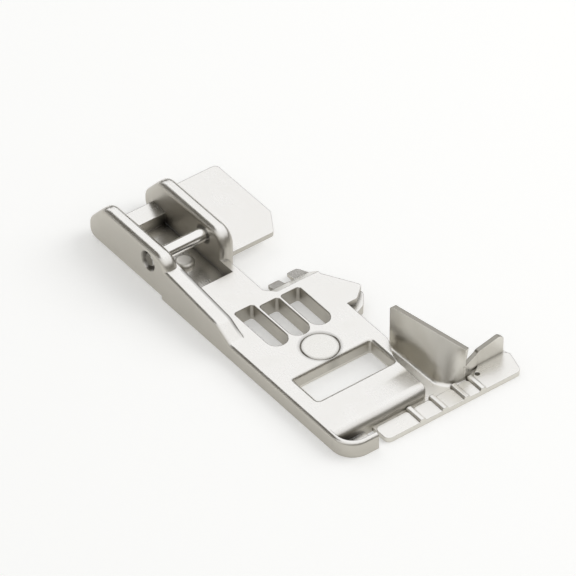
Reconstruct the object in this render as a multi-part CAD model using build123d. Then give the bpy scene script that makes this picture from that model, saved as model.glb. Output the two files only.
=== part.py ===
from build123d import *
import math
import os

# Clip-on presser foot of an overlock and cover stitch machine, with a fixed edge guide.
# Millimetres. The origin lies on the axis of the snap bar, midway between the two ears.
# X runs across the foot to the operator's right, Y to the rear and Z up.

# Heights
bar_axis_height = 3.75
sole_thickness = 2.0
sheet_thickness = 0.5
plate_fit = 0.05

# Sole and its sides
left_edge_radius = 0.45
sole_right_side = 9.54
side_step_front = -26.83
side_step_rear = -24.17
side_step_radius = 3.0
neck_right_side = 3.62
neck_corner_y = -9.7
neck_corner_radius = 0.5
neck_rear = 5.3
toe_right_side = 8.05
toe_front = 32.85
toe_shoulder = 31.4
toe_nose_height = 0.68
toe_corner_radius = 0.8
rim_front = 35.35
rim_thickness = 0.5
rim_corner_radius = 2.6
rim_end = -0.48

# Spur on the right side, its front corner cut to a lower ledge
spur_reach = 12.5
spur_root_y = -18.25
spur_front_y = -17.4
spur_front_share = 0.6
spur_side_front = -15.95
spur_side_rear = -15.1
spur_rear_x = 10.14
spur_rear_y = -11.1
spur_root_radius = 0.4
spur_radius = 0.7
spur_ledge_drop = 0.8
spur_ledge_y = -16.83
spur_ledge_end_y = -15.45
spur_ledge_share = 0.45

# Left rail
rail_width = 2.1
rail_rear_height = 4.3
rail_shoulder_y = -12.2
rail_shoulder_height = 3.3
rail_foot_y = -14.7
rail_shoulder_radius = 2.0
rail_foot_radius = 1.0
rail_inner_radius = 0.3
rail_overlap = 0.9

# Clevis
clevis_gap = 5.65
ear_thickness = 1.8
ear_height = 5.65
ear_rear = 11.15
ear_front = 3.4
ear_crown_y = 8.3
ear_crown_radius = 2.0
ear_back_z = -1.4
ear_back_radius = 1.5
ear_heel_radius = 1.3
ear_nose_radius = 2.0
ear_edge_radius = 0.7
floor_thickness = 0.5
cross_tie_rear = 9.4
cross_tie_length = 2.4

# Side wing
wing_right = 12.15
wing_front = -2.7
wing_rear = 10.2
wing_thickness = 0.6
wing_corner_radius = 0.6
wing_cut_width = 1.8
wing_cut_length = 2.9

# Needle slots
slot_count = 3
slot_pitch = 2.85
slot_width = 2.45
slot_first_x = 0.1
slot_front = -17.95
slot_rear = -11.5
slot_first_extra = 0.7
slot_corner_radius = 0.35
slot_edge_radius = 0.15

# Bevelled rear edge, with two stitch prongs that slope on from its foot
shelf_left = 4.75
shelf_right = 10.25
shelf_edge_y = -10.8
shelf_foot_y = -9.4
shelf_overlap = 0.4
shelf_drop = 1.0
shelf_right_end_y = -10.2
prong_drop = 0.35
prong_thickness = 0.6
prong_root_y = -9.3
prong_left_sides = (5.3, 8.15)
prong_right_sides = (6.85, 9.6)
prong_tips = (-8.2, -7.8)
prong_tip_radius = 0.3

# Window in front of the needles
window_left = -2.35
window_right = 7.92
window_rear = -22.97
window_front = -27.23
window_corner_radius = 0.3
window_roll_radius = 0.5
window_plate_margin = 0.15

# Snap bar in its two holes
snap_bar_diameter = 1.65
snap_bar_fit = 0.02
bar_sink_diameter = 2.5
bar_sink_depth = 0.45
bar_end_inset = 0.2
bar_end_chamfer = 0.2

# Rivet that holds the guide plate
rivet_x = 3.02
rivet_y = -20.6
rivet_head_diameter = 4.2
rivet_head_thickness = 0.6
rivet_shank_diameter = 2.4
rivet_ring_depth = 0.1
rivet_fit = 0.02

# Small round-headed rivet in the clevis floor
floor_rivet_x = 0.5
floor_rivet_y = 0.3
floor_rivet_shank_diameter = 1.2
floor_rivet_head_diameter = 2.3
floor_rivet_head_height = 0.6

# Guide plate under the sole
plate_left = -3.0
plate_right = 8.9
plate_rear = -18.25
plate_front = -32.6
plate_corner_radius = 0.3

# Ribbed lip in front of the toe
lip_left = 0.62
lip_front = -35.4
lip_rear = -33.1
lip_right_front = 18.62
lip_right_rear = 19.4
lip_right_rear_y = -32.5
lip_end_radius = 0.7
lip_rear_radius = 0.4
pad_height = 0.15
pad_corner_radius = 0.4
rib_left_sides = (4.99, 8.01, 10.93, 13.14)
rib_width = 0.75
rib_height = 0.3
rib_rear = -32.92

# Fence along the right side
fence_x = 10.12
fence_rear = -23.5
fence_top_height = 6.0
fence_front_height = 4.75
fence_hook_radius = 2.0
fence_front_x = 13.02
fence_front_y = -32.9
fence_foot_radius = 0.45
fence_corner_radius = 0.5
fence_root = 0.2

# Low web and tab on the rear edge of the end pad
web_height = 2.4
web_overlap = 0.2
tab_left = 15.42
tab_right = 18.92
tab_front = -31.95
tab_low_height = 2.5
tab_peak_height = 3.2
tab_peak_inset = 0.6
tab_end_drop = 0.45
tab_low_radius = 0.5
tab_peak_radius = 0.3
tab_end_radius = 0.2
relief_x = 14.55
relief_y = -33.0
relief_width = 0.55

under_z = -bar_axis_height
top_z = under_z + sole_thickness
sheet_top_z = under_z + sheet_thickness
pad_top_z = sheet_top_z + pad_height
ear_top_z = under_z + ear_height
nose_z = under_z + toe_nose_height
half_gap = clevis_gap / 2
ear_outer = half_gap + ear_thickness
left_side = -ear_outer
spur_width = spur_reach - sole_right_side
shelf_foot_z = top_z - shelf_drop
margin = 1.0
near = 0.02
diagonal = math.sqrt(0.5)


def block(x_min, x_max, y_min, y_max, z_min, z_max):
    """Box between the given faces."""
    size = (x_max - x_min, y_max - y_min, z_max - z_min)
    centre = ((x_min + x_max) / 2, (y_min + y_max) / 2, (z_min + z_max) / 2)
    return Pos(*centre) * Box(*size)


def rod_x(x_min, x_max, diameter):
    """Round rod on the axis of the snap bar."""
    rod = Cylinder(diameter / 2, x_max - x_min, rotation=(0, 90, 0))
    return Pos((x_min + x_max) / 2, 0, 0) * rod


def upright_rod(x, y, z_min, z_max, diameter):
    """Round rod standing along Z."""
    return Pos(x, y, (z_min + z_max) / 2) * Cylinder(diameter / 2, z_max - z_min)


def plan_solid(points, radii, z_min, z_max):
    """Prism over a closed outline in plan, with one radius for each corner."""
    with BuildSketch(Plane.XY.offset(z_min)) as plan:
        with BuildLine():
            FilletPolyline(*points, radius=radii, close=True)
        make_face()
    return extrude(plan.sketch, amount=z_max - z_min)


def side_solid(points, radii, x_min, x_max):
    """Prism over a closed outline in the YZ plane, with one radius for each corner."""
    with BuildSketch(Plane.YZ.offset(x_min)) as side:
        with BuildLine():
            FilletPolyline(*points, radius=radii, close=True)
        make_face()
    return extrude(side.sketch, amount=x_max - x_min)


def sole_blank():
    """Sole before its openings: neck, spur, stepped right side and round left corner."""
    corners = (
        ((left_side, -rim_front), rim_corner_radius),
        ((rim_end, -rim_front), 0.0),
        ((rim_end, -toe_front), 0.0),
        ((toe_right_side, -toe_front), toe_corner_radius),
        ((toe_right_side, side_step_front), side_step_radius),
        ((sole_right_side, side_step_rear), side_step_radius),
        ((sole_right_side, spur_root_y), spur_root_radius),
        ((sole_right_side + spur_width * spur_front_share, spur_front_y), spur_radius),
        ((spur_reach, spur_side_front), spur_radius),
        ((spur_reach, spur_side_rear), spur_radius),
        ((spur_rear_x, spur_rear_y), spur_radius),
        ((spur_rear_x - spur_radius, shelf_edge_y), 0.0),
        ((shelf_left, shelf_edge_y), neck_corner_radius),
        ((neck_right_side, neck_corner_y), neck_corner_radius),
        ((neck_right_side, -neck_rear), 0.0),
        ((left_side, -neck_rear), 0.0),
    )
    points = [corner[0] for corner in corners]
    radii = [corner[1] for corner in corners]
    return plan_solid(points, radii, under_z, top_z)


def rail():
    """Left rail: falls gently from the ear, then rounds down into the sole's top."""
    corners = (
        ((-ear_front + rail_overlap, under_z), 0.0),
        ((-ear_front + rail_overlap, under_z + rail_rear_height), 0.0),
        ((rail_shoulder_y, under_z + rail_shoulder_height), rail_shoulder_radius),
        ((rail_foot_y, top_z), rail_foot_radius),
        ((rail_foot_y - margin, top_z), 0.0),
        ((rail_foot_y - margin, under_z), 0.0),
    )
    points = [corner[0] for corner in corners]
    radii = [corner[1] for corner in corners]
    bar = side_solid(points, radii, left_side, left_side + rail_width)
    upper = bar.edges().filter_by(Axis.X, reverse=True).filter_by(Axis.Z, reverse=True)
    outer = upper.filter_by(
        lambda edge: edge.center().X < left_side + near and edge.center().Z > top_z - near
    )
    bar = fillet(outer, left_edge_radius)
    inner = bar.edges().filter_by(Axis.Z, reverse=True).filter_by(
        lambda edge: edge.center().X > left_side + rail_width - near
        and edge.center().Z > top_z + near
    )
    return fillet(inner, rail_inner_radius)


def round_left_edges(solid):
    """Round the sole's upper outer edge along its left side, front corner and rim."""
    upper = solid.edges().filter_by(Axis.Z, reverse=True).filter_by(
        lambda edge: edge.center().Z > top_z - near
    )
    outer = upper.filter_by(
        lambda edge: edge.center().X < left_side + rim_corner_radius / 2
        or edge.center().Y < -rim_front + near
    )
    outer = outer.filter_by(lambda edge: edge.center().Y < -neck_rear - near)
    return fillet(outer, left_edge_radius)


def toe_cutter():
    """Space over the curved toe and the pocket inside the rim."""
    rise = toe_front - toe_shoulder
    drop = top_z - nose_z
    with BuildSketch(Plane.YZ.offset(left_side + rim_thickness)) as side:
        with BuildLine():
            ThreePointArc(
                (-toe_shoulder, top_z),
                (-toe_shoulder - rise * diagonal, top_z - drop * (1 - diagonal)),
                (-toe_front, nose_z),
            )
            Polyline(
                (-toe_front, nose_z),
                (-toe_front, sheet_top_z),
                (-rim_front + rim_thickness, sheet_top_z),
                (-rim_front + rim_thickness, top_z + margin),
                (-toe_shoulder, top_z + margin),
                (-toe_shoulder, top_z),
            )
        make_face()
    above_toe = extrude(side.sketch, amount=sole_right_side - left_side)
    inner_left = left_side + rim_thickness
    inner_front = -rim_front + rim_thickness
    inside_rim = plan_solid(
        (
            (inner_left, -toe_shoulder + margin),
            (inner_left, inner_front),
            (sole_right_side + margin, inner_front),
            (sole_right_side + margin, -toe_shoulder + margin),
        ),
        (0.0, rim_corner_radius - rim_thickness, 0.0, 0.0),
        under_z,
        top_z + margin,
    )
    return above_toe & inside_rim


def needle_slots():
    """Slots for the needles, squared at the rear and round in front."""
    cutters = []
    for index in range(slot_count):
        left = slot_first_x + index * slot_pitch - slot_width / 2
        right = left + slot_width
        rear = slot_rear + (slot_first_extra if index == 0 else 0.0)
        nose = slot_width / 2 - near
        points = ((left, slot_front), (right, slot_front), (right, rear), (left, rear))
        radii = (nose, nose, slot_corner_radius, slot_corner_radius)
        cutters.append(plan_solid(points, radii, under_z - margin, top_z + margin))
    return cutters


def stitch_shelf():
    """Bevelled rear edge of the sole, cut in plan to leave the two stitch prongs."""
    root_y = shelf_edge_y - shelf_overlap
    reach_y = max(prong_tips)
    tip_z = shelf_foot_z - prong_drop
    slope = side_solid(
        (
            (root_y, shelf_foot_z - prong_thickness),
            (root_y, top_z),
            (shelf_edge_y, top_z),
            (shelf_foot_y, shelf_foot_z),
            (reach_y, tip_z),
            (reach_y, tip_z - prong_thickness / 2),
            (shelf_foot_y, shelf_foot_z - prong_thickness),
        ),
        (0.0, 0.0, 0.3, 0.3, 0.0, 0.0, 0.0),
        shelf_left,
        shelf_right,
    )
    outline = [((shelf_right, root_y), 0.0), ((shelf_left, root_y), 0.0)]
    outline.append(((shelf_left, prong_root_y), 0.0))
    for left, right, tip in zip(prong_left_sides, prong_right_sides, prong_tips):
        outline.append(((left, prong_root_y), 0.0))
        outline.append(((left, tip), prong_tip_radius))
        outline.append(((right, tip), prong_tip_radius))
        if right < max(prong_right_sides):
            outline.append(((right, prong_root_y), prong_tip_radius))
    outline.append(((shelf_right, shelf_right_end_y), 0.0))
    points = [corner[0] for corner in outline]
    radii = [corner[1] for corner in outline]
    return slope & plan_solid(points, radii, under_z, top_z + margin)


def spur_ledge_cutter():
    """Waste over the lower ledge at the spur's front corner."""
    turn_x = sole_right_side + spur_width * spur_ledge_share
    points = (
        (sole_right_side, spur_ledge_y),
        (turn_x, spur_ledge_y),
        (spur_reach + near, spur_ledge_end_y),
        (spur_reach + margin, spur_root_y - margin),
        (sole_right_side, spur_root_y - margin),
    )
    turn_radius = spur_width * spur_ledge_share / 4
    return plan_solid(
        points, (0.0, turn_radius, 0.0, 0.0, 0.0), top_z - spur_ledge_drop, top_z + margin
    )


def ear(x_min):
    """One ear of the clevis, its upper edges fully rounded."""
    corners = (
        ((-ear_front, under_z), 0.0),
        ((-ear_front, ear_top_z), ear_nose_radius),
        ((ear_crown_y, ear_top_z), ear_crown_radius),
        ((ear_rear, ear_back_z), ear_back_radius),
        ((ear_rear, under_z), ear_heel_radius),
    )
    points = [corner[0] for corner in corners]
    radii = [corner[1] for corner in corners]
    plate = side_solid(points, radii, x_min, x_min + ear_thickness)
    upper = plate.edges().filter_by(Axis.X, reverse=True).filter_by(
        lambda edge: edge.center().Z > under_z + ear_heel_radius
    )
    return fillet(upper, ear_edge_radius)


def clevis():
    """Two ears, the thin floor between them and the raised tie at the rear."""
    body = ear(left_side) + ear(half_gap)
    body += block(-half_gap, half_gap, -neck_rear, cross_tie_rear, under_z, under_z + floor_thickness)
    body += block(
        -half_gap, half_gap, cross_tie_rear - cross_tie_length, cross_tie_rear, under_z, top_z
    )
    body += block(half_gap, neck_right_side, -neck_rear, -ear_front + ear_edge_radius, under_z, top_z)
    return body


def side_wing():
    """Thin flat wing that stands out from the right ear."""
    root = ear_outer - ear_thickness / 2
    points = (
        (root, wing_front),
        (wing_right - wing_cut_width, wing_front),
        (wing_right, wing_front + wing_cut_length),
        (wing_right, wing_rear),
        (root, wing_rear),
    )
    radii = (0.0, wing_corner_radius, wing_corner_radius, wing_corner_radius, 0.0)
    return plan_solid(points, radii, top_z - wing_thickness, top_z)


def window_cutter(grow):
    """Window through the sole, widened by the given margin."""
    left = window_left - grow
    right = window_right + grow
    rear = window_rear + grow
    front = window_front - grow
    points = ((left, front), (right, front), (right, rear), (left, rear))
    radii = (window_corner_radius,) * 4
    return plan_solid(points, radii, under_z - margin, top_z + margin)


def plate_recess():
    """Recess of the guide plate in the underside of the sole."""
    under = under_z - margin
    recess = block(
        plate_left - plate_fit,
        plate_right + plate_fit,
        plate_front - plate_fit,
        plate_rear + plate_fit,
        under,
        sheet_top_z,
    )
    recess += block(
        plate_right - margin,
        sole_right_side + margin,
        plate_front - plate_fit,
        fence_rear + plate_fit,
        under,
        sheet_top_z,
    )
    recess += block(
        lip_left - plate_fit,
        sole_right_side + margin,
        -toe_front - margin,
        plate_front,
        under,
        sheet_top_z,
    )
    return recess


def bar_holes():
    """Countersunk holes for the snap bar in both ears."""
    bore = snap_bar_diameter + 2 * snap_bar_fit
    holes = rod_x(left_side - margin, ear_outer + margin, bore)
    sink_centre = ear_outer - bar_sink_depth / 2
    for side in (-1, 1):
        sink = Cone(bore / 2, bar_sink_diameter / 2, bar_sink_depth, rotation=(0, side * 90, 0))
        holes += Pos(side * sink_centre, 0, 0) * sink
    return holes


def make_foot_body():
    """Sole, rail, clevis, spur, prongs and side wing in one piece."""
    body = round_left_edges(sole_blank()) + rail()
    body -= toe_cutter()
    body -= window_cutter(0)
    rolled = body.edges().filter_by(Axis.X).filter_by_position(
        Axis.Y, window_front - near, window_front + near
    )
    body = fillet(rolled.sort_by(Axis.Z)[-1], window_roll_radius)
    body -= spur_ledge_cutter()
    body += stitch_shelf()
    body += clevis()
    body += side_wing()
    for cutter in needle_slots():
        body -= cutter
        opened = body.edges().filter_by_position(Axis.Z, top_z - near, top_z + near)
        inside = cutter.bounding_box()
        opened = opened.filter_by(
            lambda edge: inside.min.X - near < edge.bounding_box().min.X
            and edge.bounding_box().max.X < inside.max.X + near
            and inside.min.Y - near < edge.bounding_box().min.Y
            and edge.bounding_box().max.Y < inside.max.Y + near
        )
        body = fillet(opened, slot_edge_radius)
    body -= plate_recess()
    body -= bar_holes()
    body -= upright_rod(
        rivet_x, rivet_y, under_z - margin, top_z, rivet_shank_diameter + 2 * rivet_fit
    )
    body -= upright_rod(
        rivet_x,
        rivet_y,
        top_z - rivet_head_thickness,
        top_z + margin,
        rivet_head_diameter + 2 * rivet_fit,
    )
    seat_edge = body.edges().filter_by(GeomType.CIRCLE).filter_by_position(
        Axis.Z, top_z - near, top_z + near
    )
    seat_edge = seat_edge.filter_by(
        lambda edge: abs(edge.radius - rivet_head_diameter / 2 - rivet_fit) < near / 2
    )
    body = chamfer(seat_edge, rivet_ring_depth)
    body -= upright_rod(
        floor_rivet_x,
        floor_rivet_y,
        under_z - margin,
        top_z,
        floor_rivet_shank_diameter + 2 * rivet_fit,
    )
    return body


def make_snap_bar():
    """Bar that the machine's ankle snaps onto, pressed into both ears."""
    reach = ear_outer - bar_end_inset
    bar = rod_x(-reach, reach, snap_bar_diameter)
    return chamfer(bar.edges().filter_by(GeomType.CIRCLE), bar_end_chamfer)


def make_sole_rivet():
    """Flush rivet through the sole and the guide plate."""
    head_z = top_z - rivet_head_thickness
    head = upright_rod(rivet_x, rivet_y, head_z, top_z, rivet_head_diameter)
    head = chamfer(head.edges().group_by(Axis.Z)[-1], rivet_ring_depth)
    return head + upright_rod(rivet_x, rivet_y, under_z, head_z, rivet_shank_diameter)


def make_floor_rivet():
    """Small rivet with a domed head on the clevis floor."""
    floor_z = under_z + floor_thickness
    head_top = floor_z + floor_rivet_head_height
    head = upright_rod(floor_rivet_x, floor_rivet_y, floor_z, head_top, floor_rivet_head_diameter)
    head = fillet(head.edges().group_by(Axis.Z)[-1], floor_rivet_head_height * 0.8)
    return head + upright_rod(
        floor_rivet_x, floor_rivet_y, under_z, floor_z, floor_rivet_shank_diameter
    )


def plate_sheet():
    """Flat sheet under the sole, reaching to the fence, the tab and the lip's front."""
    hook_x = fence_x + fence_hook_radius
    outer_x = fence_x + sheet_thickness
    corners = (
        ((plate_left, plate_front), plate_corner_radius),
        ((lip_left, plate_front), 0.0),
        ((lip_left, lip_front), lip_end_radius),
        ((lip_right_front, lip_front), lip_end_radius),
        ((lip_right_rear, lip_right_rear_y), lip_rear_radius),
        ((tab_right + sheet_thickness / 2, tab_front + sheet_thickness), 0.0),
        ((tab_left, tab_front + sheet_thickness), 0.0),
        ((hook_x, fence_front_y + sheet_thickness), 0.0),
        ((outer_x, fence_front_y + fence_hook_radius), 0.0),
        ((outer_x, fence_rear), 0.0),
        ((plate_right, fence_rear), 0.0),
        ((plate_right, plate_rear), plate_corner_radius),
        ((plate_left, plate_rear), plate_corner_radius),
    )
    points = [corner[0] for corner in corners]
    radii = [corner[1] for corner in corners]
    return plan_solid(points, radii, under_z, sheet_top_z)


def lip_pads():
    """Raised pads between the ribs, the last one running back to the tab."""
    lefts = [lip_left] + [left + rib_width for left in rib_left_sides]
    rights = list(rib_left_sides)
    pads = []
    for index, (left, right) in enumerate(zip(lefts, rights)):
        front_left = lip_end_radius if index == 0 else 0.0
        rear_left = lip_end_radius if index == 0 else pad_corner_radius
        pads.append(
            plan_solid(
                ((left, lip_front), (right, lip_front), (right, lip_rear), (left, lip_rear)),
                (front_left, 0.0, pad_corner_radius, rear_left),
                sheet_top_z,
                pad_top_z,
            )
        )
    pads.append(
        plan_solid(
            (
                (lefts[-1], lip_front),
                (lip_right_front, lip_front),
                (lip_right_rear, lip_right_rear_y),
                (tab_right, tab_front),
                (tab_left, tab_front),
                (lefts[-1], lip_rear),
            ),
            (0.0, lip_end_radius, lip_rear_radius, 0.0, 0.0, 0.0),
            sheet_top_z,
            pad_top_z,
        )
    )
    return pads


def lip_ribs():
    """Round-topped ribs across the lip."""
    ribs = []
    for left in rib_left_sides:
        rib = block(
            left, left + rib_width, lip_front, rib_rear, sheet_top_z, pad_top_z + rib_height
        )
        crest = rib.edges().group_by(Axis.Z)[-1].filter_by(Axis.Y)
        rib = fillet(crest, rib_height * 0.8)
        ribs.append(rib)
    return ribs


def fence_foot(z):
    """Bent strip of the fence's foot: straight, then a quarter turn to the right."""
    hook_x = fence_x + fence_hook_radius
    bend_y = fence_front_y + fence_hook_radius
    outer_x = fence_x + sheet_thickness
    outer_y = fence_front_y + sheet_thickness
    outer_radius = fence_hook_radius - sheet_thickness
    edges = [
        Edge.make_line((fence_x, fence_rear, z), (fence_x, bend_y, z)),
        Edge.make_three_point_arc(
            (fence_x, bend_y, z),
            (hook_x - fence_hook_radius * diagonal, bend_y - fence_hook_radius * diagonal, z),
            (hook_x, fence_front_y, z),
        ),
        Edge.make_line((hook_x, fence_front_y, z), (fence_front_x, fence_front_y, z)),
        Edge.make_line((fence_front_x, fence_front_y, z), (fence_front_x, outer_y, z)),
        Edge.make_line((fence_front_x, outer_y, z), (hook_x, outer_y, z)),
        Edge.make_three_point_arc(
            (hook_x, outer_y, z),
            (hook_x - outer_radius * diagonal, bend_y - outer_radius * diagonal, z),
            (outer_x, bend_y, z),
        ),
        Edge.make_line((outer_x, bend_y, z), (outer_x, fence_rear, z)),
        Edge.make_line((outer_x, fence_rear, z), (fence_x, fence_rear, z)),
    ]
    return Wire(edges)


def fence_crest():
    """Straight sloping strip of the fence's top, divided like its foot."""
    rear = Vector(fence_x, fence_rear, under_z + fence_top_height)
    front = Vector(fence_front_x, fence_front_y, under_z + fence_front_height)
    straight = fence_rear - fence_front_y - fence_hook_radius
    turn = fence_hook_radius * math.pi / 2
    rest = fence_front_x - fence_x - fence_hook_radius
    run = straight + turn + rest
    shares = (0.0, straight / run, (straight + turn) / run, 1.0)
    inner = [rear + (front - rear) * share for share in shares]
    sideways = Vector(fence_rear - fence_front_y, fence_front_x - fence_x, 0).normalized()
    outer = [point + sideways * sheet_thickness for point in reversed(inner)]
    return Wire.make_polygon(inner + outer)


def make_fence():
    """Fence that stands upright at the rear, leans outwards and hooks round in front."""
    return Solid.make_loft([fence_foot(sheet_top_z - fence_root), fence_crest()], ruled=True)


def web():
    """Low wall that joins the fence's front end to the tab."""
    points = (
        (fence_front_x - web_overlap, fence_front_y),
        (tab_left, tab_front),
        (tab_left, tab_front + sheet_thickness),
        (fence_front_x - web_overlap, fence_front_y + sheet_thickness),
    )
    return plan_solid(points, (0.0, 0.0, 0.0, 0.0), under_z, under_z + web_height)


def tab():
    """Upright tab on the rear edge of the end pad, rising to the right."""
    with BuildSketch(Plane.XZ.offset(-tab_front)) as profile:
        with BuildLine():
            FilletPolyline(
                (tab_left - web_overlap, under_z),
                (tab_left - web_overlap, under_z + tab_low_height),
                (tab_right - tab_peak_inset, under_z + tab_peak_height),
                (tab_right, under_z + tab_peak_height - tab_end_drop),
                (tab_right, under_z),
                radius=(0.0, tab_low_radius, tab_peak_radius, tab_end_radius, 0.0),
                close=True,
            )
        make_face()
    return extrude(profile.sketch, amount=-sheet_thickness)


def bent_sheet():
    """Flat sheet and fence in one, with the round bend along the fence's foot."""
    sheet = plate_sheet() + make_fence()
    foot = sheet.edges().filter_by_position(Axis.Z, sheet_top_z - near, sheet_top_z + near)
    foot = foot.filter_by_position(Axis.X, fence_x - fence_root / 2, fence_x + fence_root / 2)
    return fillet(foot, fence_foot_radius) - fence_corner_cutter()


def fence_corner_cutter():
    """Waste outside the rounded upper rear corner of the fence."""
    centre_y = fence_rear - fence_corner_radius
    centre_z = under_z + fence_top_height - fence_corner_radius
    waste = block(
        fence_x - margin,
        fence_x + margin,
        centre_y,
        fence_rear + margin,
        centre_z,
        centre_z + fence_corner_radius + margin,
    )
    round_part = Cylinder(fence_corner_radius, 4 * margin, rotation=(0, 90, 0))
    return waste - Pos(fence_x, centre_y, centre_z) * round_part


def make_guide_plate():
    """Plate under the sole, ribbed lip, fence, web and tab folded from one sheet."""
    guide = bent_sheet()
    for pad in lip_pads():
        guide += pad
    for rib in lip_ribs():
        guide += rib
    guide += web()
    guide += tab()
    guide -= window_cutter(window_plate_margin)
    guide -= upright_rod(
        rivet_x, rivet_y, under_z - margin, top_z, rivet_shank_diameter + 2 * rivet_fit
    )
    relief_top = pad_top_z + margin / 2
    guide -= upright_rod(relief_x, relief_y, under_z - margin, relief_top, relief_width)
    return guide


pieces = {
    "foot_body": make_foot_body,
    "snap_bar": make_snap_bar,
    "sole_rivet": make_sole_rivet,
    "floor_rivet": make_floor_rivet,
    "guide_plate": make_guide_plate,
}

os.makedirs("parts", exist_ok=True)
for name, maker in pieces.items():
    export_step(maker(), f"parts/{name}.step")
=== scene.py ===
"""Finishes, studio and camera for a clip-on presser foot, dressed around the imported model."""

import logging
import math
from dataclasses import dataclass
from enum import Enum
from typing import Mapping

import bmesh
import bpy
from mathutils import Matrix, Vector


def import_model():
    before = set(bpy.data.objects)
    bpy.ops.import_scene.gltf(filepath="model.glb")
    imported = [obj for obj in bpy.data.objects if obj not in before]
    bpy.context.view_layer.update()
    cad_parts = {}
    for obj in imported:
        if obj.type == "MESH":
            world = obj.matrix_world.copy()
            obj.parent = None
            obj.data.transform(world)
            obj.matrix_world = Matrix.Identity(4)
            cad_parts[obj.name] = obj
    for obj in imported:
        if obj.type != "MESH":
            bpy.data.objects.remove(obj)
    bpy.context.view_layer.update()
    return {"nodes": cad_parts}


LOG = logging.getLogger("presser_foot")
MM = 0.001

# Places on the foot that the finishes follow.
RIVET_AXIS_MM = (3.02, -20.6, 0.0)
RIVET_RADIUS_MM = 2.15
BAR_AXIS_MM = (0.0, 0.0, 0.0)
RAIL_EDGE_X_MM = -2.68

# Directions across an axis: one for each, and zero along the axis itself.
ACROSS_X = (0.0, 1.0, 1.0)
ACROSS_Z = (1.0, 1.0, 0.0)

# Middle of the set, which the lamps and the grey screens stand around.
STUDIO_CENTRE = Vector((0.005, -0.014, -0.002))
WHITE = (1.0, 1.0, 1.0, 1.0)

# The Mix node repeats the names of its sockets, so they are linked by number.
MIX_FACTOR = 0
NUMBER_A, NUMBER_B, NUMBER_RESULT = 2, 3, 0
COLOUR_A, COLOUR_B, COLOUR_RESULT = 6, 7, 2

# Share of a dark band's half width over which it is darkest.
BAND_CORE = 0.3
# Cosine between the eased and the true normal where burnish starts, and where it is full.
BURNISH_STARTS, BURNISH_FULL = 0.995, 0.8
# Upward part of the normal where the painted shade and dullness of upright faces start, and
# where they are full.
FACE_SHADE_STARTS, FACE_SHADE_FULL = 0.94, 0.45
# The same for the pin's cut ends, by the part of the normal along its axis.
PIN_SHADE_STARTS, PIN_SHADE_FULL = 0.5, 0.95
# Openness of a corner where the painted corner shade is full, and where it ends.
CORNER_SHADE_FULL, CORNER_SHADE_ENDS = 0.26, 0.72
# Cloud values between which the roughness goes from its least to its greatest multiple.
CLOUD_LOW, CLOUD_HIGH = 0.3, 0.7
CLOUD_SMOOTHER, CLOUD_ROUGHER = 0.85, 1.15
# Rays that feel for edges and corners at each shaded point.
FEELER_RAYS = 8

Socket = bpy.types.NodeSocket
Node = bpy.types.Node
Tree = bpy.types.NodeTree
Triple = tuple[float, float, float]


class Lay(Enum):
    """How the marks of the last working step run over a surface."""

    ALONG_FOOT = "along the foot"
    ACROSS_SHEET = "across the sheet"
    ROUND_BAR = "round the snap bar"
    ROUND_RIVET = "round the rivet"


def linear(code: str) -> tuple[float, float, float, float]:
    """Turn an sRGB hex colour into linear values.

    Args:
        code: Six hex digits with a leading hash.

    Returns:
        Red, green, blue and an alpha of one.
    """
    values = []
    for start in (1, 3, 5):
        share = int(code[start:start + 2], 16) / 255
        values.append(share / 12.92 if share <= 0.04045 else ((share + 0.055) / 1.055) ** 2.4)
    return (values[0], values[1], values[2], 1.0)


def new_material(title: str) -> bpy.types.Material:
    """Make a material with an empty node tree.

    Args:
        title: The material's name.

    Returns:
        The new material.
    """
    material = bpy.data.materials.new(title)
    material.use_nodes = True
    material.node_tree.nodes.clear()
    return material


def add_node(
    tree: Tree, kind: str, inputs: Mapping[str | int, object], **settings: object
) -> Node:
    """Add one node with its settings and with what feeds its sockets.

    Args:
        tree: Node tree that gets the node.
        kind: Type of the node.
        inputs: Socket names or numbers, each with a constant or another node's output.
        settings: Attributes of the node.

    Returns:
        The new node.
    """
    node = tree.nodes.new(kind)
    for name, value in settings.items():
        setattr(node, name, value)
    for name, value in inputs.items():
        if isinstance(value, Socket):
            tree.links.new(value, node.inputs[name])
        else:
            node.inputs[name].default_value = value
    return node


def axis_distance(tree: Tree, centre_mm: Triple, across: Triple) -> Socket:
    """Measure how far each point of a piece lies from an axis.

    Args:
        tree: The material's tree.
        centre_mm: A point on the axis.
        across: Directions across the axis.

    Returns:
        Distance in metres.
    """
    place = add_node(tree, "ShaderNodeTexCoord", {}).outputs["Object"]
    centre = tuple(value * MM for value in centre_mm)
    moved = add_node(tree, "ShaderNodeVectorMath", {0: place, 1: centre}, operation="SUBTRACT")
    flat = add_node(
        tree, "ShaderNodeVectorMath", {0: moved.outputs[0], 1: across}, operation="MULTIPLY"
    )
    reach = add_node(tree, "ShaderNodeVectorMath", {0: flat.outputs[0]}, operation="LENGTH")
    return reach.outputs["Value"]


def dark_band(tree: Tree, offset: Socket, half_width_mm: float, strength: float) -> Socket:
    """Find a narrow band on both sides of where an offset is zero.

    Args:
        tree: The material's tree.
        offset: Distance from the band's middle in metres, of either sign.
        half_width_mm: Half of the band's width.
        strength: How dark the band's core is, up to one.

    Returns:
        Zero outside the band, rising to its strength in its core.
    """
    away = add_node(tree, "ShaderNodeMath", {0: offset}, operation="ABSOLUTE")
    band = add_node(
        tree,
        "ShaderNodeMapRange",
        {
            "Value": away.outputs[0],
            "From Min": half_width_mm * MM,
            "From Max": half_width_mm * MM * BAND_CORE,
            "To Max": strength,
        },
    )
    return band.outputs["Result"]


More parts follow.
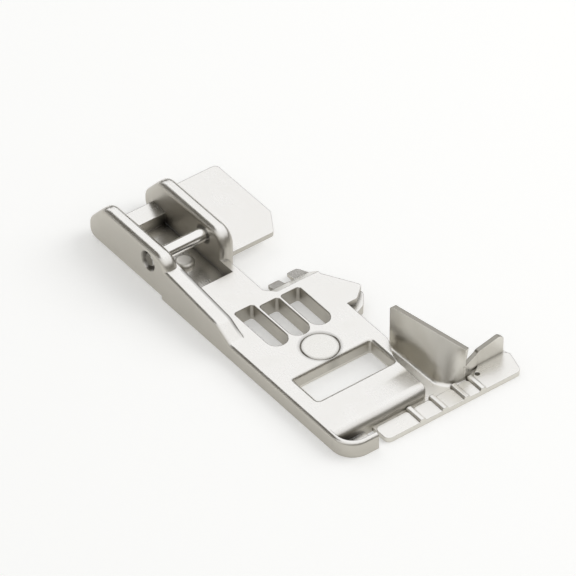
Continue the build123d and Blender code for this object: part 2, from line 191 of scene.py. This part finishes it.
@dataclass(frozen=True)
class EdgeShadeLine:
    """Painted shade: a dark line along a raised inner edge, standing in for the dark reflection
    of its rounding.
    """

    edge_x_mm: float
    rear_y_mm: float
    front_y_mm: float
    half_width_mm: float
    strength: float
    rear_fade_mm: float = 0.2
    front_fade_mm: float = 0.6

    def share(self, tree: Tree) -> Socket:
        """Find the line.

        Args:
            tree: The material's tree.

        Returns:
            Zero away from the line, rising to its strength on it.
        """
        place = add_node(tree, "ShaderNodeTexCoord", {}).outputs["Object"]
        parts = add_node(tree, "ShaderNodeSeparateXYZ", {"Vector": place})
        offset = add_node(
            tree,
            "ShaderNodeMath",
            {0: parts.outputs["X"], 1: self.edge_x_mm * MM},
            operation="SUBTRACT",
        )
        share = dark_band(tree, offset.outputs[0], self.half_width_mm, self.strength)
        ends = (
            (self.front_y_mm - self.front_fade_mm, self.front_y_mm + self.front_fade_mm),
            (self.rear_y_mm + self.rear_fade_mm, self.rear_y_mm - self.rear_fade_mm),
        )
        for outside_mm, inside_mm in ends:
            within = add_node(
                tree,
                "ShaderNodeMapRange",
                {
                    "Value": parts.outputs["Y"],
                    "From Min": outside_mm * MM,
                    "From Max": inside_mm * MM,
                },
            )
            share = add_node(
                tree,
                "ShaderNodeMath",
                {0: share, 1: within.outputs["Result"]},
                operation="MULTIPLY",
            ).outputs[0]
        return share


@dataclass(frozen=True)
class DarkRing:
    """Darker ring where a round piece sits in the surface."""

    centre_mm: Triple
    across: Triple
    radius_mm: float
    half_width_mm: float
    strength: float

    def share(self, tree: Tree) -> Socket:
        """Find the ring.

        Args:
            tree: The material's tree.

        Returns:
            Zero away from the ring, rising to its strength on it.
        """
        offset = add_node(
            tree,
            "ShaderNodeMath",
            {0: axis_distance(tree, self.centre_mm, self.across), 1: self.radius_mm * MM},
            operation="SUBTRACT",
        )
        return dark_band(tree, offset.outputs[0], self.half_width_mm, self.strength)


@dataclass(frozen=True)
class ShearedCrest:
    """Dull sheared edge along the top of a sheet's upright parts."""

    above_z_mm: float
    strength: float
    fade_mm: float = 0.2
    level_starts: float = 0.45
    level_full: float = 0.6

    def share(self, tree: Tree) -> Socket:
        """Find the edge, which is high up and faces upwards.

        Args:
            tree: The material's tree.

        Returns:
            Zero away from the edge, rising to its strength on it.
        """
        place = add_node(tree, "ShaderNodeTexCoord", {}).outputs["Object"]
        height = add_node(tree, "ShaderNodeSeparateXYZ", {"Vector": place})
        facing = add_node(tree, "ShaderNodeNewGeometry", {}).outputs["Normal"]
        upward = add_node(tree, "ShaderNodeSeparateXYZ", {"Vector": facing})
        high = add_node(
            tree,
            "ShaderNodeMapRange",
            {
                "Value": height.outputs["Z"],
                "From Min": self.above_z_mm * MM,
                "From Max": (self.above_z_mm + self.fade_mm) * MM,
                "To Max": self.strength,
            },
        )
        level = add_node(
            tree,
            "ShaderNodeMapRange",
            {
                "Value": upward.outputs["Z"],
                "From Min": self.level_starts,
                "From Max": self.level_full,
            },
        )
        return add_node(
            tree,
            "ShaderNodeMath",
            {0: high.outputs["Result"], 1: level.outputs["Result"]},
            operation="MULTIPLY",
        ).outputs[0]


@dataclass(frozen=True)
class RolledSide:
    """Gentle roll-off of a level face towards its right side, left by long buffing."""

    start_x_mm: float
    side_x_mm: float
    rear_y_mm: float
    front_y_mm: float
    drop_mm: float
    curve: float = 2.0

    def tilt(self, tree: Tree, normal: Socket) -> Socket:
        """Tilt the normal as the roll-off does.

        Args:
            tree: The material's tree.
            normal: Normal without the roll-off.

        Returns:
            The tilted normal.
        """
        place = add_node(tree, "ShaderNodeTexCoord", {}).outputs["Object"]
        parts = add_node(tree, "ShaderNodeSeparateXYZ", {"Vector": place})
        rightward = add_node(
            tree,
            "ShaderNodeMapRange",
            {
                "Value": parts.outputs["X"],
                "From Min": self.start_x_mm * MM,
                "From Max": self.side_x_mm * MM,
            },
        )
        fall = add_node(
            tree,
            "ShaderNodeMath",
            {0: rightward.outputs["Result"], 1: self.curve},
            operation="POWER",
        )
        forward = add_node(
            tree,
            "ShaderNodeMapRange",
            {
                "Value": parts.outputs["Y"],
                "From Min": self.rear_y_mm * MM,
                "From Max": self.front_y_mm * MM,
            },
            interpolation_type="SMOOTHSTEP",
        )
        depth = add_node(
            tree,
            "ShaderNodeMath",
            {0: fall.outputs[0], 1: forward.outputs["Result"]},
            operation="MULTIPLY",
        )
        return add_node(
            tree,
            "ShaderNodeBump",
            {
                "Strength": 1.0,
                "Distance": self.drop_mm * MM,
                "Height": depth.outputs[0],
                "Normal": normal,
            },
            invert=True,
        ).outputs["Normal"]


@dataclass(frozen=True)
class MetalFinish:
    """A plated or bare metal surface with the marks of how it was finished.

    Attributes:
        title: The material's name.
        pale: Colour where the polish is at its best.
        deep: Colour of its duller clouds.
        shade_and_marks: Colour of the painted corner shade and of the dark marks.
        roughness_low: Roughness in the best polished marks.
        roughness_high: Roughness in the dullest marks.
        lay: Direction of the marks.
        mark_spacing_mm: Spacing of the marks.
        mark_length_mm: Length of the marks.
        mark_depth_mm: Depth of the marks.
        side: Colour of the painted shade on upright faces; on a pin, on its cut ends.
        side_dullness: Roughness that those faces have on top.
        cloud_mm: Size of the clouds.
        edge_mm: Width of the burnish along edges.
        corner_mm: How far the painted corner shade reaches out of a corner.
        dark_marks: Dark lines, rings and edges.
        rolled_side: Roll-off of a level face, if it has one.
    """

    title: str
    pale: str
    deep: str
    shade_and_marks: str
    roughness_low: float
    roughness_high: float
    lay: Lay
    mark_spacing_mm: float
    mark_length_mm: float
    mark_depth_mm: float
    side: str = "#C6C2B9"
    side_dullness: float = 0.12
    cloud_mm: float = 2.6
    edge_mm: float = 0.1
    corner_mm: float = 2.6
    dark_marks: tuple[EdgeShadeLine | DarkRing | ShearedCrest, ...] = ()
    rolled_side: RolledSide | None = None

    def _pattern_place(self, tree: Tree) -> Socket:
        """Give the coordinates that the marks follow.

        Args:
            tree: The material's tree.

        Returns:
            Object coordinates, or the distance from the rivet's axis for rings about it.
        """
        if self.lay is Lay.ROUND_RIVET:
            radius = axis_distance(tree, RIVET_AXIS_MM, ACROSS_Z)
            return add_node(tree, "ShaderNodeCombineXYZ", {"X": radius}).outputs["Vector"]
        return add_node(tree, "ShaderNodeTexCoord", {}).outputs["Object"]

    def _marks(self, tree: Tree) -> Socket:
        """Fine parallel marks, as long and as close as the finishing tool leaves them.

        Args:
            tree: The material's tree.

        Returns:
            A value between zero and one.
        """
        across = 1.0 / (self.mark_spacing_mm * MM)
        along = 1.0 / (self.mark_length_mm * MM)
        stretch = {
            Lay.ALONG_FOOT: (across, along, across),
            Lay.ACROSS_SHEET: (along, across, across),
            Lay.ROUND_BAR: (across, along, along),
            Lay.ROUND_RIVET: (across, along, along),
        }[self.lay]
        scaled = add_node(
            tree, "ShaderNodeMapping", {"Vector": self._pattern_place(tree), "Scale": stretch}
        )
        noise = add_node(
            tree,
            "ShaderNodeTexNoise",
            {"Vector": scaled.outputs["Vector"], "Scale": 1.0, "Detail": 3.0, "Roughness": 0.6},
        )
        return noise.outputs["Fac"]

    def _clouds(self, tree: Tree) -> Socket:
        """Soft patches where the polish is a little duller.

        Args:
            tree: The material's tree.

        Returns:
            A value between zero and one.
        """
        place = add_node(tree, "ShaderNodeTexCoord", {}).outputs["Object"]
        scale = 1.0 / (self.cloud_mm * MM)
        noise = add_node(
            tree,
            "ShaderNodeTexNoise",
            {"Vector": place, "Scale": scale, "Detail": 4.0, "Roughness": 0.55},
        )
        return noise.outputs["Fac"]

    def _edge_share(self, tree: Tree, rounded: Socket) -> Socket:
        """Find the edges that handling has burnished.

        Args:
            tree: The material's tree.
            rounded: Normal with the sharp edges eased.

        Returns:
            One on an edge, falling to zero on the flat beside it.
        """
        flat = add_node(tree, "ShaderNodeNewGeometry", {}).outputs["Normal"]
        match = add_node(
            tree, "ShaderNodeVectorMath", {0: rounded, 1: flat}, operation="DOT_PRODUCT"
        )
        share = add_node(
            tree,
            "ShaderNodeMapRange",
            {
                "Value": match.outputs["Value"],
                "From Min": BURNISH_STARTS,
                "From Max": BURNISH_FULL,
            },
        )
        return share.outputs["Result"]

    def _side_share(self, tree: Tree, rounded: Socket) -> Socket:
        """Find the upright sides, and on a pin its cut ends, which get painted shade and are
        duller.

        Args:
            tree: The material's tree.
            rounded: Normal with the sharp edges eased.

        Returns:
            Zero on faces without the painted shade, rising to one where it is full.
        """
        axis, shade_starts, shade_full = "Z", FACE_SHADE_STARTS, FACE_SHADE_FULL
        if self.lay is Lay.ROUND_BAR:
            axis, shade_starts, shade_full = "X", PIN_SHADE_STARTS, PIN_SHADE_FULL
        parts = add_node(tree, "ShaderNodeSeparateXYZ", {"Vector": rounded})
        facing = add_node(tree, "ShaderNodeMath", {0: parts.outputs[axis]}, operation="ABSOLUTE")
        share = add_node(
            tree,
            "ShaderNodeMapRange",
            {"Value": facing.outputs[0], "From Min": shade_starts, "From Max": shade_full},
        )
        return share.outputs["Result"]

    def _undarkened_share(self, tree: Tree) -> Socket:
        """Find what is free of the painted corner shade and of the dark marks.

        Args:
            tree: The material's tree.

        Returns:
            One on undarkened metal, falling to zero in the darkest places.
        """
        # Painted shade: the metal is darkened where ambient occlusion finds a closed corner or
        # recess.
        shelter = add_node(
            tree,
            "ShaderNodeAmbientOcclusion",
            {"Distance": self.corner_mm * MM},
            samples=FEELER_RAYS,
            only_local=True,
        )
        undarkened = add_node(
            tree,
            "ShaderNodeMapRange",
            {
                "Value": shelter.outputs["AO"],
                "From Min": CORNER_SHADE_FULL,
                "From Max": CORNER_SHADE_ENDS,
            },
        ).outputs["Result"]
        for mark in self.dark_marks:
            undarkened = add_node(
                tree,
                "ShaderNodeMath",
                {0: undarkened, 1: mark.share(tree)},
                operation="SUBTRACT",
                use_clamp=True,
            ).outputs[0]
        return undarkened

    def _colour(self, tree: Tree, clouds: Socket, side: Socket) -> Socket:
        """Colour the metal by its clouds, the painted shade on its upright sides, and the
        painted corner shade and dark marks.

        Args:
            tree: The material's tree.
            clouds: Value of the clouds.
            side: Share of the upright faces, which get painted shade.

        Returns:
            The base colour.
        """
        metal = add_node(
            tree,
            "ShaderNodeMix",
            {MIX_FACTOR: clouds, COLOUR_A: linear(self.deep), COLOUR_B: linear(self.pale)},
            data_type="RGBA",
        )
        # Painted shade: upright faces, and a pin's cut ends, are mixed towards the darker side
        # colour.
        side_shaded = add_node(
            tree,
            "ShaderNodeMix",
            {
                MIX_FACTOR: side,
                COLOUR_A: metal.outputs[COLOUR_RESULT],
                COLOUR_B: linear(self.side),
            },
            data_type="RGBA",
        )
        # Painted shade in corners and recesses, and the dark marks, mix towards the darkest
        # colour.
        coloured = add_node(
            tree,
            "ShaderNodeMix",
            {
                MIX_FACTOR: self._undarkened_share(tree),
                COLOUR_A: linear(self.shade_and_marks),
                COLOUR_B: side_shaded.outputs[COLOUR_RESULT],
            },
            data_type="RGBA",
        )
        return coloured.outputs[COLOUR_RESULT]

    def _roughness(
        self, tree: Tree, marks: Socket, clouds: Socket, side: Socket, edge: Socket
    ) -> Socket:
        """Roughen the metal by its marks, clouds and sides, and burnish its edges.

        Args:
            tree: The material's tree.
            marks: Value of the fine marks.
            clouds: Value of the clouds.
            side: Share of the less polished faces.
            edge: Share of the burnished edges.

        Returns:
            The roughness.
        """
        marked = add_node(
            tree,
            "ShaderNodeMix",
            {MIX_FACTOR: marks, NUMBER_A: self.roughness_low, NUMBER_B: self.roughness_high},
        )
        patched = add_node(
            tree,
            "ShaderNodeMapRange",
            {
                "Value": clouds,
                "From Min": CLOUD_LOW,
                "From Max": CLOUD_HIGH,
                "To Min": CLOUD_SMOOTHER,
                "To Max": CLOUD_ROUGHER,
            },
        )
        rough = add_node(
            tree,
            "ShaderNodeMath",
            {0: marked.outputs[NUMBER_RESULT], 1: patched.outputs["Result"]},
            operation="MULTIPLY",
        )
        unbuffed = add_node(
            tree,
            "ShaderNodeMath",
            {0: side, 1: self.side_dullness, 2: rough.outputs[0]},
            operation="MULTIPLY_ADD",
        )
        burnished = add_node(
            tree,
            "ShaderNodeMix",
            {MIX_FACTOR: edge, NUMBER_A: unbuffed.outputs[0], NUMBER_B: self.roughness_low},
        )
        return burnished.outputs[NUMBER_RESULT]

    def build(self) -> bpy.types.Material:
        """Make the material.

        Returns:
            The new material.
        """
        material = new_material(self.title)
        tree = material.node_tree
        marks = self._marks(tree)
        clouds = self._clouds(tree)
        normal = add_node(
            tree, "ShaderNodeBevel", {"Radius": self.edge_mm * MM}, samples=FEELER_RAYS
        ).outputs["Normal"]
        edge = self._edge_share(tree, normal)
        side = self._side_share(tree, normal)
        if self.rolled_side is not None:
            normal = self.rolled_side.tilt(tree, normal)
        relief = add_node(
            tree,
            "ShaderNodeBump",
            {
                "Strength": 1.0,
                "Distance": self.mark_depth_mm * MM,
                "Height": marks,
                "Normal": normal,
            },
        )
        shader = add_node(
            tree,
            "ShaderNodeBsdfPrincipled",
            {
                "Metallic": 1.0,
                "Base Color": self._colour(tree, clouds, side),
                "Roughness": self._roughness(tree, marks, clouds, side, edge),
                "Normal": relief.outputs["Normal"],
            },
        )
        add_node(tree, "ShaderNodeOutputMaterial", {"Surface": shader.outputs["BSDF"]})
        return material


# Darker ring where the flush rivet meets the sole, on both of the metals that meet there.
RIVET_RING = DarkRing(
    centre_mm=RIVET_AXIS_MM,
    across=ACROSS_Z,
    radius_mm=RIVET_RADIUS_MM,
    half_width_mm=0.4,
    strength=0.28,
)

# Real buffing, rolling and grinding lines lie 0.01 to 0.05 mm apart. In each finish below they
# are drawn 0.1 to 0.2 mm apart, so that they show.

# Nickel plated over a steel casting and buffed along its length: warm white metal with soft
# reflections, faint long buffing lines and slightly cloudy patches. Painted shade darkens its
# upright sides, its corners and recesses, the rail's inner edge and the snap bar's hole; the
# rivet's rim is darker, and long buffing has rolled the toe's right side off.
POLISHED_NICKEL = MetalFinish(
    title="nickel_plated_steel_buffed",
    pale="#F8F7F5",
    deep="#EDEBE7",
    shade_and_marks="#3E3A34",
    roughness_low=0.2,
    roughness_high=0.3,
    lay=Lay.ALONG_FOOT,
    mark_spacing_mm=0.16,
    mark_length_mm=5.0,
    mark_depth_mm=0.0008,
    dark_marks=(
        # Painted shade along the rail's inner edge, for the dark reflection of its rounding.
        EdgeShadeLine(
            edge_x_mm=RAIL_EDGE_X_MM,
            rear_y_mm=-3.6,
            front_y_mm=-14.0,
            half_width_mm=0.42,
            strength=0.6,
        ),
        RIVET_RING,
        # Painted shade of the snap bar's hole in the ear.
        DarkRing(
            centre_mm=BAR_AXIS_MM,
            across=ACROSS_X,
            radius_mm=0.95,
            half_width_mm=0.35,
            strength=0.75,
        ),
    ),
    rolled_side=RolledSide(
        start_x_mm=2.0,
        side_x_mm=8.05,
        rear_y_mm=-27.2,
        front_y_mm=-29.4,
        drop_mm=0.75,
    ),
)

# Cold-rolled sheet steel, folded and then bright plated: smoother than the foot, with the faint
# rolling lines of the sheet across it, a dull sheared edge on top, and light painted shade on
# its upright sides and in its corners.
BRIGHT_SHEET = MetalFinish(
    title="bright_plated_sheet_steel",
    pale="#FAF9F6",
    deep="#EFEDE9",
    shade_and_marks="#847F73",
    roughness_low=0.24,
    roughness_high=0.36,
    lay=Lay.ACROSS_SHEET,
    mark_spacing_mm=0.14,
    mark_length_mm=4.0,
    mark_depth_mm=0.0008,
    side="#DEDBD3",
    side_dullness=0.04,
    corner_mm=0.9,
    dark_marks=(ShearedCrest(above_z_mm=-1.6, strength=0.8),),
)

# Centreless-ground steel pin: bright, with fine grinding rings round it and painted shade on its
# cut ends.
GROUND_PIN = MetalFinish(
    title="ground_steel_pin",
    pale="#FAF9F7",
    deep="#EEEDEA",
    shade_and_marks="#6A665F",
    roughness_low=0.12,
    roughness_high=0.22,
    lay=Lay.ROUND_BAR,
    mark_spacing_mm=0.1,
    mark_length_mm=3.0,
    mark_depth_mm=0.0015,
    side="#77736A",
    side_dullness=0.25,
    corner_mm=0.6,
)

# Rivet steel faced level with the sole: turned rings round its middle, a shade darker than
# the plating about it.
FACED_RIVET = MetalFinish(
    title="faced_rivet_steel",
    pale="#F6F5F2",
    deep="#E9E7E2",
    shade_and_marks="#5E5A52",
    roughness_low=0.18,
    roughness_high=0.34,
    lay=Lay.ROUND_RIVET,
    mark_spacing_mm=0.14,
    mark_length_mm=3.0,
    mark_depth_mm=0.0015,
    dark_marks=(RIVET_RING,),
)

# Riveted-over head in the clevis floor, tumbled rather than polished: the dullest of the metals,
# with short marks that run no way in particular.
TUMBLED_RIVET = MetalFinish(
    title="tumbled_rivet_steel",
    pale="#EFEDE8",
    deep="#DFDCD5",
    shade_and_marks="#5E5A52",
    roughness_low=0.36,
    roughness_high=0.5,
    lay=Lay.ALONG_FOOT,
    mark_spacing_mm=0.2,
    mark_length_mm=0.3,
    mark_depth_mm=0.004,
)


@dataclass(frozen=True)
class ModelNode:
    """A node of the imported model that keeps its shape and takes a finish."""

    name: str
    finish: MetalFinish

    def dress(
        self,
        nodes: Mapping[str, bpy.types.Object],
        materials: dict[str, bpy.types.Material],
    ) -> None:
        """Put the finish on the node.

        Args:
            nodes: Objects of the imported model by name.
            materials: Materials made so far by title. A new one is added to it.
        """
        if self.finish.title not in materials:
            materials[self.finish.title] = self.finish.build()
        mesh = nodes[self.name].data
        mesh.materials.clear()
        mesh.materials.append(materials[self.finish.title])
        LOG.info("dressed %s in %s", self.name, self.finish.title)


@dataclass(frozen=True)
class PresserFoot:
    """The foot's five metal pieces."""

    pieces: tuple[ModelNode, ...] = (
        ModelNode("foot_body", POLISHED_NICKEL),
        ModelNode("guide_plate", BRIGHT_SHEET),
        ModelNode("snap_bar", GROUND_PIN),
        ModelNode("sole_rivet", FACED_RIVET),
        ModelNode("floor_rivet", TUMBLED_RIVET),
    )

    def dress(self, nodes: Mapping[str, bpy.types.Object]) -> None:
        """Put every piece's finish on it.

        Args:
            nodes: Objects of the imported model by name.
        """
        materials: dict[str, bpy.types.Material] = {}
        for piece in self.pieces:
            piece.dress(nodes, materials)


def seen_share(tree: Tree) -> Socket:
    """Tell rays that look at the background from rays that carry its light.

    Args:
        tree: Tree of the floor's or the world's shader.

    Returns:
        One for camera, glossy and transmission rays, zero for the rest.
    """
    path = add_node(tree, "ShaderNodeLightPath", {})
    seen = path.outputs["Is Camera Ray"]
    for kind in ("Is Glossy Ray", "Is Transmission Ray"):
        seen = add_node(
            tree, "ShaderNodeMath", {0: seen, 1: path.outputs[kind]}, operation="MAXIMUM"
        ).outputs[0]
    return seen


@dataclass(frozen=True)
class StudioFloor:
    """Pale matt floor that the foot lies on and casts its shadow on."""

    side_m: float = 6.0
    top_z_m: float = -0.003755
    colour: str = "#F3F3F1"
    seen_glow: float = 0.27

    def _material(self) -> bpy.types.Material:
        """Matt white with a slight glow that the camera and the metal see, and nothing else.

        Returns:
            The new material.
        """
        material = new_material("matt_white_floor")
        tree = material.node_tree
        glow = add_node(
            tree,
            "ShaderNodeMath",
            {0: seen_share(tree), 1: self.seen_glow},
            operation="MULTIPLY",
        )
        shader = add_node(
            tree,
            "ShaderNodeBsdfPrincipled",
            {
                "Base Color": linear(self.colour),
                "Roughness": 0.9,
                "Emission Color": WHITE,
                "Emission Strength": glow.outputs[0],
            },
        )
        add_node(tree, "ShaderNodeOutputMaterial", {"Surface": shader.outputs["BSDF"]})
        return material

    def build(self) -> None:
        """Lay the floor."""
        mesh = bpy.data.meshes.new("floor")
        shape = bmesh.new()
        bmesh.ops.create_grid(
            shape,
            x_segments=1,
            y_segments=1,
            size=self.side_m / 2,
            matrix=Matrix.Translation((0.0, 0.0, self.top_z_m)),
        )
        shape.to_mesh(mesh)
        shape.free()
        mesh.materials.append(self._material())
        floor = bpy.data.objects.new("floor", mesh)
        bpy.context.scene.collection.objects.link(floor)
        LOG.info("laid the floor")


@dataclass(frozen=True)
class StudioWorld:
    """White surroundings: full white to the eye and in metal, softer as a light."""

    light_level: float = 0.54

    def build(self) -> None:
        """Set the scene's world."""
        world = bpy.data.worlds.new("white_studio")
        world.use_nodes = True
        tree = world.node_tree
        tree.nodes.clear()
        seen = add_node(tree, "ShaderNodeBackground", {"Color": WHITE, "Strength": 1.0})
        lighting = add_node(
            tree, "ShaderNodeBackground", {"Color": WHITE, "Strength": self.light_level}
        )
        mixed = add_node(
            tree,
            "ShaderNodeMixShader",
            {0: seen_share(tree), 1: lighting.outputs[0], 2: seen.outputs[0]},
        )
        add_node(tree, "ShaderNodeOutputWorld", {"Surface": mixed.outputs[0]})
        bpy.context.scene.world = world
        LOG.info("set the world")


@dataclass(frozen=True)
class Softbox:
    """A square soft lamp aimed at the foot, which the metal doesn't mirror."""

    name: str
    direction: Triple
    distance_m: float
    side_m: float
    watts: float

    def build(self) -> None:
        """Hang the lamp."""
        lamp = bpy.data.lights.new(self.name, "AREA")
        lamp.shape = "SQUARE"
        lamp.size = self.side_m
        lamp.energy = self.watts
        hanger = bpy.data.objects.new(self.name, lamp)
        towards = Vector(self.direction).normalized()
        hanger.location = STUDIO_CENTRE + towards * self.distance_m
        hanger.rotation_mode = "QUATERNION"
        hanger.rotation_quaternion = towards.to_track_quat("Z", "Y")
        hanger.visible_glossy = False
        bpy.context.scene.collection.objects.link(hanger)
        LOG.info("hung %s", self.name)


@dataclass(frozen=True)
class GreyScreen:
    """A softly glowing grey screen out of view, which the metal alone sees."""

    name: str
    colour: str
    glow: float

    def _hang(self, shape: bmesh.types.BMesh) -> bpy.types.Object:
        """Make the screen's object from its finished shape.

        Args:
            shape: The screen's shape, which is freed.

        Returns:
            The screen's object.
        """
        material = new_material(self.name)
        tree = material.node_tree
        shader = add_node(
            tree, "ShaderNodeEmission", {"Color": linear(self.colour), "Strength": self.glow}
        )
        add_node(tree, "ShaderNodeOutputMaterial", {"Surface": shader.outputs[0]})
        mesh = bpy.data.meshes.new(self.name)
        shape.to_mesh(mesh)
        shape.free()
        mesh.materials.append(material)
        screen = bpy.data.objects.new(self.name, mesh)
        screen.visible_camera = False
        screen.visible_diffuse = False
        screen.visible_shadow = False
        bpy.context.scene.collection.objects.link(screen)
        return screen


@dataclass(frozen=True)
class GreyCurtain(GreyScreen):
    """A curtain round the set that gives the metal a dark horizon."""

    name: str = "grey_curtain"
    colour: str = "#8C877C"
    glow: float = 0.55
    radius_m: float = 0.45
    height_m: float = 0.19
    front_height_m: float = 0.27
    left_height_m: float = 0.06
    left_spread: float = 1.6
    sides: int = 48

    def _height_over(self, foot: Vector) -> float:
        """Give the curtain's height, which rises towards the front and drops on the left.

        Args:
            foot: A point of the curtain's lower edge.

        Returns:
            Height over that point in metres.
        """
        front = max(0.0, STUDIO_CENTRE.y - foot.y) / self.radius_m
        left = max(0.0, STUDIO_CENTRE.x - foot.x) / self.radius_m * (1.0 - front)
        return (
            self.height_m
            + (self.front_height_m - self.height_m) * front
            + (self.left_height_m - self.height_m) * min(1.0, left * self.left_spread)
        )

    def build(self) -> None:
        """Hang the curtain."""
        shape = bmesh.new()
        bmesh.ops.create_circle(
            shape,
            segments=self.sides,
            radius=self.radius_m,
            matrix=Matrix.Translation(STUDIO_CENTRE),
        )
        raised = bmesh.ops.extrude_edge_only(shape, edges=shape.edges[:])
        for item in raised["geom"]:
            if isinstance(item, bmesh.types.BMVert):
                item.co.z += self._height_over(item.co)
        curtain = self._hang(shape)
        LOG.info("hung %s", self.name)


@dataclass(frozen=True)
class GreyCard(GreyScreen):
    """A card in the sky behind the set on the left, which darkens the fence's inner side."""

    name: str = "grey_card"
    colour: str = "#8A857A"
    glow: float = 0.5
    direction: Triple = (-0.56, 0.59, 0.58)
    distance_m: float = 0.55
    side_m: float = 0.46

    def build(self) -> None:
        """Hang the card, square to the line from the foot."""
        towards = Vector(self.direction).normalized()
        place = Matrix.Translation(STUDIO_CENTRE + towards * self.distance_m)
        turn = towards.to_track_quat("Z", "Y").to_matrix().to_4x4()
        shape = bmesh.new()
        bmesh.ops.create_grid(
            shape, x_segments=1, y_segments=1, size=self.side_m / 2, matrix=place @ turn
        )
        card = self._hang(shape)
        LOG.info("hung %s", self.name)


@dataclass(frozen=True)
class StudioCamera:
    """Long lens at the photograph's viewing angle."""

    azimuth_deg: float = -37.194
    elevation_deg: float = 41.203
    distance_m: float = 0.6505
    aim_m: Triple = (0.005966, -0.011047, -0.00175)
    lens_mm: float = 377.7
    sensor_mm: float = 36.0
    nearest_m: float = 0.01
    farthest_m: float = 20.0

    def build(self) -> None:
        """Set up the camera."""
        azimuth = math.radians(self.azimuth_deg)
        elevation = math.radians(self.elevation_deg)
        back = Vector(
            (
                math.sin(azimuth) * math.cos(elevation),
                -math.cos(azimuth) * math.cos(elevation),
                math.sin(elevation),
            )
        )
        data = bpy.data.cameras.new("camera")
        data.lens = self.lens_mm
        data.sensor_width = self.sensor_mm
        data.clip_start = self.nearest_m
        data.clip_end = self.farthest_m
        camera = bpy.data.objects.new("camera", data)
        camera.location = Vector(self.aim_m) + back * self.distance_m
        camera.rotation_mode = "QUATERNION"
        camera.rotation_quaternion = back.to_track_quat("Z", "Y")
        bpy.context.scene.collection.objects.link(camera)
        bpy.context.scene.camera = camera
        LOG.info("set the camera")


@dataclass(frozen=True)
class Studio:
    """Floor, surroundings, lamps, grey screens and camera."""

    floor: StudioFloor = StudioFloor()
    world: StudioWorld = StudioWorld()
    lamps: tuple[Softbox, ...] = (
        Softbox(
            name="key_softbox",
            direction=(0.75, -0.3, 0.7),
            distance_m=0.6,
            side_m=0.45,
            watts=1.3,
        ),
        Softbox(
            name="fill_softbox",
            direction=(0.2, 0.7, 0.8),
            distance_m=0.7,
            side_m=0.5,
            watts=0.35,
        ),
    )
    screens: tuple[GreyCurtain | GreyCard, ...] = (GreyCurtain(), GreyCard())
    camera: StudioCamera = StudioCamera()

    def build(self) -> None:
        """Set up everything round the foot."""
        for thing in (self.floor, self.world, *self.lamps, *self.screens, self.camera):
            thing.build()
        bpy.context.scene.view_settings.view_transform = "Standard"


def main() -> None:
    """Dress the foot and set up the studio."""
    logging.basicConfig(level=logging.INFO, format="%(name)s: %(message)s")
    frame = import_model()
    PresserFoot().dress(frame["nodes"])
    Studio().build()


if __name__ == "__main__":
    main()
